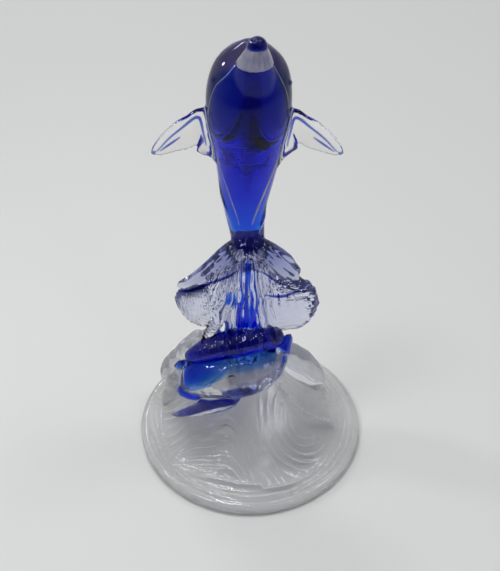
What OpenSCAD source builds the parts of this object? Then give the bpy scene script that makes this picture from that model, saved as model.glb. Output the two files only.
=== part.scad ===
// Standing dolphin of hot-worked crystal glass on a round wave foot, with a calf diving at its feet.
// Clear glass is cased over cobalt blue cores. +Z is up, the belly faces -Y, and the origin is the
// centre of the flat underside.

/* [Foot] */
// Diameter of the round foot
foot_d = 82; // [74:1:90]
// Thickness of the rolled rim
rim_h = 4.4; // [3.6:0.2:5.4]
// Height of the water mound above the foot
mound_h = 25; // [22:1:27]

/* [Water] */
// Diameter of the fluted spout at its foot
spout_d = 17; // [15:0.5:19]
// Number of flutes round the spout
spout_flutes = 13; // [9:1:17]
// Depth of the flutes, as a share of the spout's radius
flute_depth = 0.07; // [0.02:0.01:0.12]
// Height where the spout ends under the tail
spout_top = 82; // [80:1:84]

/* [Dolphin] */
// Greatest width of the body, behind the head
body_w = 24; // [22:0.5:26]
// Clear glass left between the skin and the blue core
casing_t = 1.5; // [1:0.1:2]
// How far the middle of the beak's end stands above the crown of the head
beak_rise = 1; // [0.6:0.2:3]
// Diameter of the blue bead on the end of the beak
beak_tip_d = 5; // [4:0.2:5.6]
// Diameter of each eye
eye_d = 1.8; // [1.2:0.1:2.4]

/* [Calf] */
// Greatest width of the calf's body
calf_w = 16; // [14:0.5:17]

/* [Hidden] */

foot_r = foot_d / 2;
mound_r = foot_r - 3.5;
mound_base = rim_h + 0.6;
spout_r = spout_d / 2;
spout_foot = mound_base + mound_h;
round_segments = 96;
skin_segments = 24;
slim_segments = 16;
ring_steps = 3;

clear_glass = [0.86, 0.90, 0.95, 0.45];
frosted_glass = [0.90, 0.92, 0.95, 0.75];
blue_glass = [0.02, 0.04, 0.55];
navy_glass = [0.01, 0.01, 0.25];

// Stations up the dolphin: [x, y, z, half width, depth to the belly, depth to the back,
// share of the casing's thickness left clear]
body_keys = [[-0.7, 0.2, 80, 4.9, 3.6, 3.6, 0.7],
             [-0.8, 0.0, 87, 5.2, 4.0, 4.2, 0.7],
             [-1.6, 0.0, 96, 6.1, 5.0, 5.4, 0.7],
             [-1.3, 0.2, 104, 7.7, 6.8, 7.2, 0.7],
             [-0.8, 0.6, 112, 9.0, 8.8, 9.4, 0.7],
             [-0.6, 0.8, 120, 10.3, 10.2, 10.8, 0.7],
             [-0.4, 0.8, 127, 11.7, 11.0, 11.2, 0.7],
             [-0.3, 1.2, 134, 11.8, 10.6, 10.4, 0.7],
             [0.0, 2.0, 140.8, 10.2, 8.8, 8.6, 0.8],
             [0.0, 2.8, 144.8, 7.0, 5.8, 5.8, 0.9],
             [0.2, 3.2, 146.9, 3.0, 2.4, 2.4, 0.9]];
body_crown = [0.3, 3.2, 147.3];
body_scale = body_w / 24;

// Middle of each flipper's chord, root to tip: [x, y, z, half thickness, chord up, chord down]
flipper_keys = [[6.5, -0.4, 121.5, 2.8, 8.0, 12.0],
                [10.0, -0.5, 122.4, 2.5, 7.8, 9.6],
                [12.6, -0.7, 123.6, 2.1, 6.6, 6.4],
                [15.0, -1.0, 123.0, 1.7, 5.4, 5.4],
                [18.0, -1.6, 122.1, 1.4, 4.9, 4.8],
                [20.8, -2.1, 121.0, 1.2, 4.0, 4.0],
                [23.6, -2.6, 119.4, 1.0, 3.0, 3.0],
                [26.0, -3.1, 117.8, 0.7, 1.8, 1.8]];
flipper_tip = [27.9, -3.4, 116.8];

dorsal_keys = [[-0.6, 8.2, 118.5, 1.9, 7.0, 7.5],
               [-0.7, 12.0, 115.4, 1.6, 5.0, 5.0],
               [-0.8, 15.6, 111.6, 1.2, 3.0, 3.2],
               [-0.8, 18.4, 107.4, 0.7, 1.3, 1.4]];
dorsal_tip = [-0.8, 19.6, 105.0];

// Flukes from left tip to right tip: [x, y, z of the middle of the chord, half thickness, up, down]
fluke_keys = [[-22.4, 0.0, 67.4, 1.0, 1.3, 1.3],
              [-16.6, -1.0, 71.4, 1.6, 2.3, 2.4],
              [-11.2, -2.0, 76.6, 2.2, 2.9, 3.0],
              [-6.0, -3.0, 82.2, 3.2, 3.4, 3.6],
              [-0.7, -3.2, 85.4, 4.4, 3.6, 3.2],
              [5.0, -3.0, 82.8, 3.2, 3.6, 4.0],
              [10.0, -2.0, 77.6, 2.2, 3.8, 4.2],
              [14.0, -0.6, 72.2, 1.5, 2.8, 3.2]];
fluke_left_tip = [-23.9, 0.2, 66.4];
fluke_right_tip = [16.0, 0.2, 69.4];

// Sprays that curl out of the spout: [x, y, z, half thickness, up, down]
spray_left_keys = [[-5.0, 1.5, 61.5, 6.0, 14.5, 14.0],
                   [-10.0, 1.2, 61.0, 5.2, 12.5, 9.5],
                   [-14.8, 0.8, 60.4, 4.4, 10.4, 10.8],
                   [-19.5, 0.2, 62.8, 3.4, 5.6, 6.8],
                   [-22.2, -0.2, 65.0, 1.9, 2.6, 3.6]];
spray_left_tip = [-23.7, -0.4, 65.0];
spray_right_keys = [[4.0, 1.5, 60.5, 6.0, 14.0, 14.5],
                    [9.0, 1.2, 59.8, 5.6, 12.4, 13.0],
                    [14.0, 0.8, 59.6, 5.0, 10.8, 11.2],
                    [18.4, 0.2, 60.0, 4.2, 9.0, 9.2],
                    [21.2, -0.2, 60.0, 2.8, 5.4, 5.6]];
spray_right_tip = [22.8, -0.4, 59.8];

// Calf from beak to tail: [x, y, z, half width, depth to the back, depth to the belly]
calf_keys = [[-21.8, -9.0, 34.4, 5.4, 4.6, 4.4],
             [-17.0, -10.0, 35.4, 7.0, 6.4, 6.4],
             [-10.5, -10.8, 36.6, 8.0, 7.6, 7.8],
             [-3.5, -10.6, 37.8, 7.8, 7.4, 8.6],
             [3.0, -9.6, 39.6, 6.6, 6.0, 8.0],
             [8.0, -8.2, 41.8, 4.6, 4.0, 5.6],
             [11.0, -7.0, 43.4, 2.8, 2.6, 2.8]];
calf_nose = [-24.4, -8.8, 33.6];
calf_stock_end = [12.2, -6.6, 43.8];
calf_scale = calf_w / 16;
calf_back = [-0.45, 0.25, 0.86];

calf_beak_keys = [[-5.0, -13.0, 27.8, 2.2, 1.8, 2.2],
                  [-9.0, -13.4, 27.2, 3.2, 3.0, 3.2],
                  [-14.0, -13.0, 25.4, 3.8, 3.6, 3.6],
                  [-19.5, -11.0, 21.4, 3.4, 3.2, 3.2],
                  [-25.0, -8.0, 15.8, 2.0, 2.0, 2.0]];
calf_beak_tip = [-28.8, -5.8, 11.8];

calf_fin_keys = [[-17.0, -8.8, 38.6, 1.8, 3.4, 3.4],
                 [-21.4, -8.2, 38.8, 1.5, 2.4, 2.4],
                 [-24.4, -7.8, 38.6, 0.9, 1.2, 1.3]];
calf_fin_tip = [-26.0, -7.6, 38.2];

calf_flipper_keys = [[-17.0, -12.0, 30.4, 2.4, 3.4, 3.2],
                     [-21.0, -11.6, 30.0, 2.2, 2.8, 2.6],
                     [-23.8, -11.0, 29.8, 1.4, 1.7, 1.7]];
calf_flipper_tip = [-25.2, -10.8, 30.0];

calf_fluke_keys = [[8.8, -10.4, 42.0, 1.0, 1.6, 1.6],
                   [10.2, -8.2, 43.2, 1.5, 2.6, 2.6],
                   [11.2, -6.4, 44.2, 1.8, 2.8, 2.8],
                   [12.2, -4.4, 45.2, 1.5, 2.6, 2.6],
                   [13.2, -2.2, 46.2, 1.0, 1.6, 1.6]];
calf_fluke_low_tip = [8.2, -11.4, 41.4];
calf_fluke_high_tip = [13.8, -1.2, 46.8];

// How high the low crest at the left of the foot stands
crest_rise = 7;

// Tall crest behind the calf, from the spout down to the rim: [x, y, z, half thickness, up, down]
back_crest_keys = [[-9.0, 8.0, 31.0, 3.0, 7.0, 12.0],
                   [-15.0, 9.6, 28.6, 3.2, 8.6, 13.0],
                   [-20.5, 11.2, 23.6, 3.0, 8.4, 11.0],
                   [-26.0, 12.8, 17.4, 2.6, 7.0, 8.0],
                   [-30.8, 14.0, 11.6, 1.9, 4.4, 5.0]];
back_crest_tip = [-34.0, 14.6, 7.6];

// Smooth swell behind the spout on the right, in the same form
right_swell_keys = [[9.0, 8.0, 28.0, 3.6, 5.4, 9.0],
                    [14.0, 10.0, 24.6, 4.4, 6.6, 9.0],
                    [19.5, 11.4, 18.6, 4.6, 6.2, 7.0],
                    [24.6, 12.4, 12.6, 3.6, 4.4, 5.0]];
right_swell_tip = [29.0, 13.0, 7.8];

// The beak leaves the throat here and is blended into the crown
beak_root = [0.9, -3.6, 138];
beak_end = [1.8, -5, body_crown[2] + beak_rise];

// From the core's top ring to the blunt peak that it closes on, under the beak
core_peak = [0.8, -2.4, 2.6];

// Each eye's row among the body stations and its angle round the body
eye_left_at = [7.65, 207];
eye_right_at = [7.45, 344];
// How far the eyes sink into the glass
eye_sunk = 0.35;

// The two sides are not quite a mirror pair: each flipper is drawn out by hand
flipper_shift = [-0.2, -1.4];

// ---- Curves ----

function unit(v) = v / norm(v);

function clamped(keys, i) = keys[min(max(i, 0), len(keys) - 1)];

// Smooth curve through the rows of a station list, at a fractional row number
function blend(keys, s) =
    let (i = min(floor(s), len(keys) - 2),
         t = s - i,
         a = clamped(keys, i - 1),
         b = clamped(keys, i),
         c = clamped(keys, i + 1),
         d = clamped(keys, i + 2))
    b + 0.5 * t * ((c - a) + t * ((2 * a - 5 * b + 4 * c - d) + t * (3 * b - 3 * c + d - a)));

function dense(keys, steps) =
    [for (k = [0 : (len(keys) - 1) * steps]) blend(keys, k / steps)];

function place(row) = [row[0], row[1], row[2]];

function heading(rows, k) =
    unit(place(clamped(rows, k + 1)) - place(clamped(rows, k - 1)));

// Unequal oval round a centre; u x v points along the loft
function oval(centre, u, v, half, plus, minus, segments) =
    [for (i = [0 : segments - 1])
        let (a = 360 * i / segments)
        centre + u * (half * cos(a)) + v * ((sin(a) >= 0 ? plus : minus) * sin(a))];

// Ovals square to the path, their v axis as near to up as they can be
function path_rings(rows, up, segments) =
    [for (k = [0 : len(rows) - 1])
        let (t = heading(rows, k),
             u = unit(cross(up, t)),
             v = cross(t, u),
             r = rows[k])
        oval(place(r), u, v, max(r[3], 0.05), max(r[4], 0.05), max(r[5], 0.05), segments)];

// Level ovals, for the upright body
function level_rings(rows, scale_by, inset) =
    [for (r = rows)
        let (skin = inset * r[6])
        oval(place(r), [1, 0, 0], [0, 1, 0], r[3] * scale_by - skin,
             r[5] * scale_by - skin, r[4] * scale_by - skin, skin_segments)];

module loft(rings, first, last) {
    n = len(rings[0]);
    count = len(rings);
    points = concat([for (ring = rings) each ring], [first, last]);
    first_i = n * count;
    last_i = first_i + 1;
    sides = [for (k = [0 : count - 2], j = [0 : n - 1])
        let (a = k * n + j, b = k * n + (j + 1) % n)
        each [[a, a + n, b + n], [a, b + n, b]]];
    start = [for (j = [0 : n - 1]) [first_i, j, (j + 1) % n]];
    end = [for (j = [0 : n - 1])
        let (row = (count - 1) * n)
        [last_i, row + (j + 1) % n, row + j]];
    polyhedron(points = points, faces = concat(sides, start, end));
}

module swept(keys, up, tip, steps = ring_steps, segments = slim_segments) {
    rows = dense(keys, steps);
    loft(path_rings(rows, up, segments), place(rows[0]), tip);
}

// ---- Shared outlines ----

// Height of the water mound at a distance from its axis
function mound_z(r) =
    mound_base + mound_h * pow(max(0, (mound_r - max(r, spout_r)) / (mound_r - spout_r)), 1.8);

module foot_solid() {
    rim_round = 1.8;
    rotate_extrude($fn = round_segments)
        union() {
            square([mound_r + 0.2, mound_base]);
            square([foot_r - rim_round, rim_h]);
            translate([foot_r - rim_round, rim_round])
                circle(r = rim_round, $fn = 32);
            translate([foot_r - rim_round, rim_h - rim_round])
                circle(r = rim_round, $fn = 32);
            translate([foot_r - rim_round, rim_round])
                square([rim_round, rim_h - 2 * rim_round]);
        }
}

module mound_solid() {
    steps = 14;
    outline = [for (k = [0 : steps])
        let (r = mound_r + (spout_r - mound_r) * k / steps)
        [r, mound_z(r)]];
    rotate_extrude($fn = round_segments)
        polygon(concat([[0, mound_base]], outline, [[0, spout_foot]]));
}

// A ridge that lies on the mound along an arc about a point of the foot
module ridge(centre, radius, from, to, half, rise, steps = 10, turn_in = 0) {
    rows = [for (k = [0 : steps])
        let (s = k / steps,
             a = from + (to - from) * s,
             reach = radius * (1 - turn_in * s),
             x = centre[0] + reach * cos(a),
             y = centre[1] + reach * sin(a),
             swell = sqrt(sin(180 * (0.06 + 0.88 * s))))
        [x, y, mound_z(norm([x, y])) - 0.6, half * swell, rise * swell, 2]];
    ahead = heading(rows, 0);
    astern = heading(rows, steps);
    loft(path_rings(rows, [0, 0, 1], slim_segments),
         place(rows[0]) - ahead * half * 0.5, place(rows[steps]) + astern * half * 0.5);
}

module body_solid(inset = 0, trim = 0) {
    rows = dense(body_keys, ring_steps);
    kept = [for (k = [trim : len(rows) - 1 - 3 * trim]) rows[k]];
    top = trim == 0 ? body_crown : place(kept[len(kept) - 1]) + core_peak;
    loft(level_rings(kept, body_scale, inset), place(kept[0]), top);
}

module beak_solid() {
    // Share of the way to the bead, half width, and depth each way
    stages = [[0, 6.2, 5.2], [0.45, 5.0, 4.4], [0.8, 3.4, 3.2], [1, 2.5, 2.4]];
    keys = [for (g = stages)
        let (c = beak_root + (beak_end - beak_root) * g[0])
        [c[0], c[1], c[2], g[1], g[2], g[2]]];
    swept(keys, [0, 1, 0], beak_end + [0, 0, beak_rise]);
}

module beak_bead() {
    translate(beak_end) sphere(d = beak_tip_d, $fn = 40);
}

module column_solid() {
    steps = 8;
    round = 5 * spout_flutes;
    rings = [for (k = [0 : steps])
        let (s = k / steps,
             z = spout_foot + (spout_top - spout_foot) * s,
             r = spout_r * (1 - 0.1 * s - 0.5 * pow(max(0, s - 0.7) / 0.3, 2)))
        [for (i = [0 : round - 1])
            let (a = 360 * i / round,
                 k_r = r * (1 + flute_depth * cos(spout_flutes * a)))
            [-0.4 * s + k_r * cos(a), 0.6 * s + 0.85 * k_r * sin(a), z]]];
    loft(rings, [0, 0, spout_foot], [-0.4, 0.6, spout_top]);
}

module gather_solid() {
    keys = [[-20.6, -6.6, 41.4, 1.8, 1.6, 1.8],
            [-16.2, -7.0, 43.8, 3.4, 3.2, 3.2],
            [-10.0, -7.2, 46.8, 4.4, 3.8, 4.0],
            [-3.0, -7.0, 49.0, 4.8, 4.0, 4.2],
            [4.0, -5.6, 49.6, 4.4, 3.8, 4.0],
            [9.4, -4.2, 48.0, 2.6, 2.6, 2.8]];
    swept(keys, [0, 0, 1], [11.6, -3.6, 47.0]);
}

module flukes_solid() {
    rows = dense(fluke_keys, ring_steps);
    loft(path_rings(rows, [0, 0, 1], slim_segments), fluke_left_tip, fluke_right_tip);
}

module calf_solid(inset = 0) {
    rows = [for (r = dense(calf_keys, ring_steps))
        [r[0], r[1], r[2], r[3] * calf_scale - inset, r[4] * calf_scale - inset,
         r[5] * calf_scale - inset]];
    loft(path_rings(rows, calf_back, skin_segments), calf_nose, calf_stock_end);
}

module calf_core_solid() {
    keys = [[-20.8, -9.0, 35.2, 4.4, 3.8, 3.4],
            [-16.4, -9.9, 36.2, 6.0, 5.4, 5.0],
            [-10.2, -10.6, 37.6, 6.9, 6.3, 3.6],
            [-3.6, -10.4, 39.6, 6.6, 5.6, 2.6],
            [2.8, -9.4, 41.2, 5.0, 4.2, 2.4],
            [7.4, -8.2, 42.8, 3.2, 2.6, 2.2]];
    swept(keys, calf_back, [9.4, -7.6, 43.4]);
}

// ---- Sub-parts ----

module base_disc() {
    color(clear_glass) foot_solid();
}

module wave_mound() {
    color(frosted_glass) mound_solid();
}

module on_mound() {
    difference() {
        children();
        mound_solid();
        foot_solid();
        column_solid();
    }
}

module wave_curl() {
    color(frosted_glass)
        on_mound() ridge([19, -9], 12, 200, 560, 2.4, 2.2, 26, 0.72);
}

module wave_swell_left() {
    color(frosted_glass)
        on_mound() ridge([-6, -2], 22, 160, 248, 5.0, 5.2);
}

module wave_swell_right() {
    color(frosted_glass)
        on_mound() swept(right_swell_keys, [0, 0, 1], right_swell_tip);
}

module wave_crest_left() {
    color(frosted_glass)
        on_mound() ridge([0, 0], 32, 118, 172, 3.4, crest_rise);
}

module wave_crest_back() {
    color(frosted_glass)
        on_mound() swept(back_crest_keys, [0, 0, 1], back_crest_tip);
}

module spout_column() {
    color(clear_glass)
        difference() {
            column_solid();
            flukes_solid();
            body_solid();
            spout_core_solid();
        }
}

module spout_core_solid() {
    keys = [[-0.6, -1.6, 78, 1.5, 1.5, 1.5],
            [-0.9, -1.8, 70, 1.7, 1.7, 1.7],
            [-1.0, -1.6, 60, 2.6, 2.2, 2.2],
            [-1.0, -0.6, 52, 3.4, 2.6, 2.6]];
    swept(keys, [0, 1, 0], [-1.0, -0.4, 50.6]);
}

module spout_core() {
    color(blue_glass) spout_core_solid();
}

module spout_gather() {
    color(navy_glass)
        difference() {
            gather_solid();
            column_solid();
        }
}

module spray_left() {
    color(frosted_glass)
        difference() {
            swept(spray_left_keys, [0, 0, 1], spray_left_tip);
            column_solid();
            flukes_solid();
            gather_solid();
        }
}

module spray_right() {
    color(frosted_glass)
        difference() {
            swept(spray_right_keys, [0, 0, 1], spray_right_tip);
            column_solid();
            flukes_solid();
            gather_solid();
        }
}

module tail_flukes() {
    color(clear_glass)
        difference() {
            flukes_solid();
            body_solid();
        }
}

module body_casing() {
    color(clear_glass)
        difference() {
            body_solid();
            body_solid(casing_t, 2);
            eye_solid(eye_left_at);
            eye_solid(eye_right_at);
        }
}

module body_core() {
    color(blue_glass) body_solid(casing_t, 2);
}

module eye_solid(at) {
    row = blend(body_keys, at[0]);
    reach = [row[3] * body_scale - eye_sunk, row[4] * body_scale - eye_sunk];
    translate([row[0] + reach[0] * cos(at[1]), row[1] + reach[1] * sin(at[1]), row[2]])
        sphere(d = eye_d, $fn = 32);
}

module eye_left() {
    color(navy_glass) eye_solid(eye_left_at);
}

module eye_right() {
    color(navy_glass) eye_solid(eye_right_at);
}

module beak() {
    color(clear_glass)
        difference() {
            beak_solid();
            body_solid();
            beak_bead();
        }
}

module beak_tip() {
    color(navy_glass) beak_bead();
}

module flipper(side, shift) {
    keys = [for (r = flipper_keys) [side * r[0] + shift, r[1], r[2], r[3], r[4], r[5]]];
    difference() {
        swept(keys, [0, 0, 1], [side * flipper_tip[0] + shift, flipper_tip[1], flipper_tip[2]]);
        body_solid();
    }
}

module flipper_left() {
    color(clear_glass) flipper(-1, flipper_shift[0]);
}

module flipper_right() {
    color(clear_glass) flipper(1, flipper_shift[1]);
}

module dorsal_fin() {
    color(clear_glass)
        difference() {
            swept(dorsal_keys, [0, 0, 1], dorsal_tip);
            body_solid();
        }
}

module calf_casing() {
    color(clear_glass)
        difference() {
            calf_solid();
            calf_core_solid();
            gather_solid();
            column_solid();
            mound_solid();
        }
}

module calf_core() {
    color(blue_glass)
        difference() {
            calf_core_solid();
            gather_solid();
        }
}

module calf_beak() {
    color(blue_glass)
        difference() {
            swept(calf_beak_keys, calf_back, calf_beak_tip);
            calf_solid();
        }
}

module calf_flipper() {
    color(blue_glass)
        difference() {
            swept(calf_flipper_keys, [0, 0, 1], calf_flipper_tip);
            calf_solid();
        }
}

module calf_dorsal_fin() {
    color(blue_glass)
        difference() {
            swept(calf_fin_keys, [0, 0, 1], calf_fin_tip);
            calf_solid();
            gather_solid();
        }
}

module calf_flukes() {
    color(blue_glass)
        difference() {
            loft(path_rings(dense(calf_fluke_keys, ring_steps), [0, 0, 1], slim_segments),
                 calf_fluke_low_tip, calf_fluke_high_tip);
            calf_solid();
            gather_solid();
            column_solid();
        }
}

base_disc();
wave_mound();
wave_curl();
wave_swell_left();
wave_swell_right();
wave_crest_left();
wave_crest_back();
spout_column();
spout_core();
spout_gather();
spray_left();
spray_right();
tail_flukes();
body_casing();
body_core();
beak();
beak_tip();
flipper_left();
flipper_right();
dorsal_fin();
eye_left();
eye_right();
calf_casing();
calf_core();
calf_beak();
calf_flipper();
calf_dorsal_fin();
calf_flukes();
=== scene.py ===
"""Standing glass dolphin over a fluted spout, with a diving calf, on a round wave foot.

Every outline starts from the CAD nodes or their boxes. Clear skins of index 1.5 hold blue cores of index 1.0
with absorption, so a core colours the light and only its skin bends it.
"""
import math

import bmesh
import bpy
import numpy as np
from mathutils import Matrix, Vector


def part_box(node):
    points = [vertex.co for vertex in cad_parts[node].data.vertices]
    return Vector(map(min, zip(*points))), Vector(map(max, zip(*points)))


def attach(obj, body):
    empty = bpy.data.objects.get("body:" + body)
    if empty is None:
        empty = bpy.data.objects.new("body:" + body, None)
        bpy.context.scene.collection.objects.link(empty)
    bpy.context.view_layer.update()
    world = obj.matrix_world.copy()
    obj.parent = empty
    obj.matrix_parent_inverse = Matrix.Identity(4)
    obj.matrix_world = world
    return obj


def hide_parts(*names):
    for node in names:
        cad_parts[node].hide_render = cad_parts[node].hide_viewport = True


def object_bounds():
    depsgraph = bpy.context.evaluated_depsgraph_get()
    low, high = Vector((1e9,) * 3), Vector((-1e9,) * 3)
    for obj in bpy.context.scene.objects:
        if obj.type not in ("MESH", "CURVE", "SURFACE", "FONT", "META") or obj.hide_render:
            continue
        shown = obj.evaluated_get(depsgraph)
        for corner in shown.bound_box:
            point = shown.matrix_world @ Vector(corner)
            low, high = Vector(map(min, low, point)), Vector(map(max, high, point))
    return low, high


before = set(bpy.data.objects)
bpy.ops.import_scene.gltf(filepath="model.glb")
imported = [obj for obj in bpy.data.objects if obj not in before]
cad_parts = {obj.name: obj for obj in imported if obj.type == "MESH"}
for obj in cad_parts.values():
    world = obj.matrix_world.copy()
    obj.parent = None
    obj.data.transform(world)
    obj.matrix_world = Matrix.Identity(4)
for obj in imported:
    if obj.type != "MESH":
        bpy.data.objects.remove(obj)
cad_box = [list(corner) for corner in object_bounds()]

MM = 0.001
LOW, HIGH = (np.array(corner) for corner in cad_box)
FOOT_R = (HIGH[0] - LOW[0]) / 2
FOOT_D = 2 * FOOT_R
X_AXIS, Z_AXIS = 0, 2

VOXEL = 0.32 * MM
COARSE_VOXEL = 0.4 * MM
BODY_SLICES = 170
SLICE_MARGIN = 0.004


# ---- Reading shapes off the frame ----

def corners(node):
    low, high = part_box(node)
    return np.array(low), np.array(high)


def within(node, places):
    """Points at shares (0 to 1) of a node's box."""
    low, high = corners(node)
    return low + (high - low) * np.array(places, float)


def vertex_points(mesh):
    points = np.zeros(len(mesh.vertices) * 3)
    mesh.vertices.foreach_get("co", points)
    return points.reshape(-1, 3)


def edge_ends(mesh):
    edges = np.zeros(len(mesh.edges) * 2, np.int64)
    mesh.edges.foreach_get("vertices", edges)
    return edges.reshape(-1, 2)


def slices(node, axis, count):
    """Extents of a CAD node across an axis: rows of place, then low and high of the other two."""
    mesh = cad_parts[node].data
    points, edges = vertex_points(mesh), edge_ends(mesh)
    low, high = points[:, axis].min(), points[:, axis].max()
    span = high - low
    others = [k for k in range(3) if k != axis]
    a, b = points[edges[:, 0]], points[edges[:, 1]]
    rows = []
    for place in np.linspace(low + SLICE_MARGIN * span, high - SLICE_MARGIN * span, count):
        crosses = (a[:, axis] - place) * (b[:, axis] - place) < 0
        p, q = a[crosses], b[crosses]
        t = ((place - p[:, axis]) / (q[:, axis] - p[:, axis]))[:, None]
        cut = p + t * (q - p)
        rows.append([place] + [f(cut[:, k]) for k in others for f in (np.min, np.max)])
    return np.array(rows)


def smoothed(rows, reach):
    """Runs a soft average down each column, so facets go and the ends stay where they are."""
    offsets = np.arange(-3 * reach, 3 * reach + 1)
    weights = np.exp(-0.5 * (offsets / reach) ** 2)
    weights /= weights.sum()
    out = rows.copy()
    for k in range(1, rows.shape[1]):
        ends = np.concatenate([
            2 * rows[0, k] - rows[1:3 * reach + 1, k][::-1],
            rows[:, k],
            2 * rows[-1, k] - rows[-3 * reach - 1:-1, k][::-1]])
        out[:, k] = np.convolve(ends, weights, "valid")
    return out


def outline(node, count=BODY_SLICES):
    """Level slices of a standing CAD node, with its facets smoothed away."""
    return smoothed(slices(node, Z_AXIS, count), 4)


def extents_at(rows, place):
    """Low and high of the other two axes at any place along the sliced one."""
    return [np.interp(place, rows[:, 0], rows[:, k]) for k in range(1, 5)]


def front_at(rows, x, z, limit):
    """On an outline's oval at height z: its middle, how far x lies from it, and y of its front."""
    x0, x1, y0, y1 = extents_at(rows, z)
    share = np.clip((x - (x0 + x1) / 2) / ((x1 - x0) / 2), -limit, limit)
    y = (y0 + y1) / 2 - (y1 - y0) / 2 * math.sqrt(1 - share * share)
    return (x0 + x1) / 2, share * (x1 - x0) / 2, y


# ---- Shapes of curves and surfaces ----

def fade(value, start, end):
    t = np.clip((value - start) / (end - start), 0, 1)
    return t * t * (3 - 2 * t)


def bump(distance, width):
    """A smooth ridge, 1 on its line and falling away over its width."""
    return np.exp(-(distance / width) ** 2)


def waves(points, seed, scale, octaves=6):
    """Smooth, repeatable unevenness, about -1 to 1, from a few seeded sines."""
    dice = np.random.default_rng(seed)
    total = np.zeros(len(points))
    for _ in range(octaves):
        direction = dice.normal(size=3)
        direction /= np.linalg.norm(direction)
        pitch = scale * dice.uniform(0.7, 1.6)
        total += np.sin(points @ direction * 2 * math.pi / pitch + dice.uniform(0, 2 * math.pi))
    return total / octaves ** 0.5


def curve_through(keys, steps):
    """A Catmull-Rom curve through rows of numbers."""
    keys = np.array(keys, float)
    padded = np.concatenate([[2 * keys[0] - keys[1]], keys, [2 * keys[-1] - keys[-2]]])
    rows = []
    for k in range(len(keys) - 1):
        a, b, c, d = padded[k:k + 4]
        for t in np.arange(steps) / steps:
            rows.append(b + 0.5 * t * ((c - a) + t * ((2 * a - 5 * b + 4 * c - d)
                                                      + t * (3 * b - 3 * c + d - a))))
    rows.append(keys[-1])
    return np.array(rows)


# ---- Building meshes ----

def new_object(name, points, faces):
    mesh = bpy.data.meshes.new(name)
    mesh.from_pydata([tuple(p) for p in points], [], faces)
    mesh.update()
    obj = bpy.data.objects.new(name, mesh)
    bpy.context.scene.collection.objects.link(obj)
    return obj


def loft(name, rings):
    """Closed skin through rings of equal count, each end closed on its middle."""
    count, around = len(rings), len(rings[0])
    points = np.concatenate([np.concatenate(rings), [rings[0].mean(0)], [rings[-1].mean(0)]])
    faces = []
    for k in range(count - 1):
        for j in range(around):
            a, b = k * around + j, k * around + (j + 1) % around
            faces.append((a, b, b + around, a + around))
    first, last, top = count * around, count * around + 1, (count - 1) * around
    for j in range(around):
        faces.append((first, (j + 1) % around, j))
        faces.append((last, top + j, top + (j + 1) % around))
    obj = new_object(name, points, faces)
    outward = bmesh.new()
    outward.from_mesh(obj.data)
    bmesh.ops.recalc_face_normals(outward, faces=outward.faces)
    outward.to_mesh(obj.data)
    outward.free()
    return obj


def strand(name, keys, steps=8, around=12):
    """A round thread through rows of x, y, z, radius."""
    never_along = (0, 1, 0.2)
    rows = curve_through(keys, steps)
    path, radii = rows[:, :3], rows[:, 3]
    along = np.gradient(path, axis=0)
    along /= np.linalg.norm(along, axis=1)[:, None]
    turn = np.linspace(0, 2 * math.pi, around, endpoint=False)
    rings = []
    for place, heading, radius in zip(path, along, radii):
        side = np.cross(heading, never_along)
        side /= np.linalg.norm(side)
        up = np.cross(heading, side)
        rings.append(place + radius * (np.outer(np.cos(turn), side) + np.outer(np.sin(turn), up)))
    return loft(name, rings)


def apply_modifiers(obj):
    graph = bpy.context.evaluated_depsgraph_get()
    mesh = bpy.data.meshes.new_from_object(obj.evaluated_get(graph))
    obj.modifiers.clear()
    old = obj.data
    obj.data = mesh
    bpy.data.meshes.remove(old)
    return obj


def copy_of(node, name, grow=0.0):
    """A copy of a CAD node as a new object, pushed out along its normals by grow."""
    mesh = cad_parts[node].data.copy()
    mesh.name = name
    mesh.materials.clear()
    tidy = bmesh.new()
    tidy.from_mesh(mesh)
    bmesh.ops.remove_doubles(tidy, verts=tidy.verts, dist=1e-6)
    tidy.normal_update()
    for vert in tidy.verts:
        vert.co += vert.normal * grow
    tidy.to_mesh(mesh)
    tidy.free()
    obj = bpy.data.objects.new(name, mesh)
    bpy.context.scene.collection.objects.link(obj)
    return obj


def joined(name, parts):
    """One object holding every part's mesh."""
    whole = bmesh.new()
    for part in parts:
        whole.from_mesh(part.data)
        bpy.data.objects.remove(part)
    mesh = bpy.data.meshes.new(name)
    whole.to_mesh(mesh)
    whole.free()
    obj = bpy.data.objects.new(name, mesh)
    bpy.context.scene.collection.objects.link(obj)
    return obj


def fused(name, parts, voxel, passes):
    """Parts melted into one skin: remeshed together, then softened."""
    obj = joined(name, parts)
    remesh = obj.modifiers.new("remesh", "REMESH")
    remesh.mode = "VOXEL"
    remesh.voxel_size = voxel
    soften = obj.modifiers.new("soften", "SMOOTH")
    soften.factor = 0.5
    soften.iterations = passes
    apply_modifiers(obj)
    return obj


def push(obj, amount):
    """Moves each vertex along its normal by amount(points, normals)."""
    mesh = obj.data
    points = vertex_points(mesh)
    normals = np.zeros(len(mesh.vertices) * 3)
    mesh.vertex_normals.foreach_get("vector", normals)
    normals = normals.reshape(-1, 3)
    points = points + normals * amount(points, normals)[:, None]
    mesh.vertices.foreach_set("co", points.ravel())
    mesh.update()
    return obj


# ---- Materials ----

def glass(name, roughness=0.0, ior=1.5, milk=0.0, sheen=(1, 1, 1), tint=(1, 1, 1)):
    """Glass: milk is the share of light that its surface scatters, sheen colours its reflections."""
    mat = bpy.data.materials.new(name)
    mat.use_nodes = True
    shader = mat.node_tree.nodes["Principled BSDF"]
    shader.inputs["Base Color"].default_value = (*tint, 1)
    shader.inputs["Roughness"].default_value = roughness
    shader.inputs["IOR"].default_value = ior
    shader.inputs["Transmission Weight"].default_value = 1 - milk
    shader.inputs["Specular Tint"].default_value = (*sheen, 1)
    return mat


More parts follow.
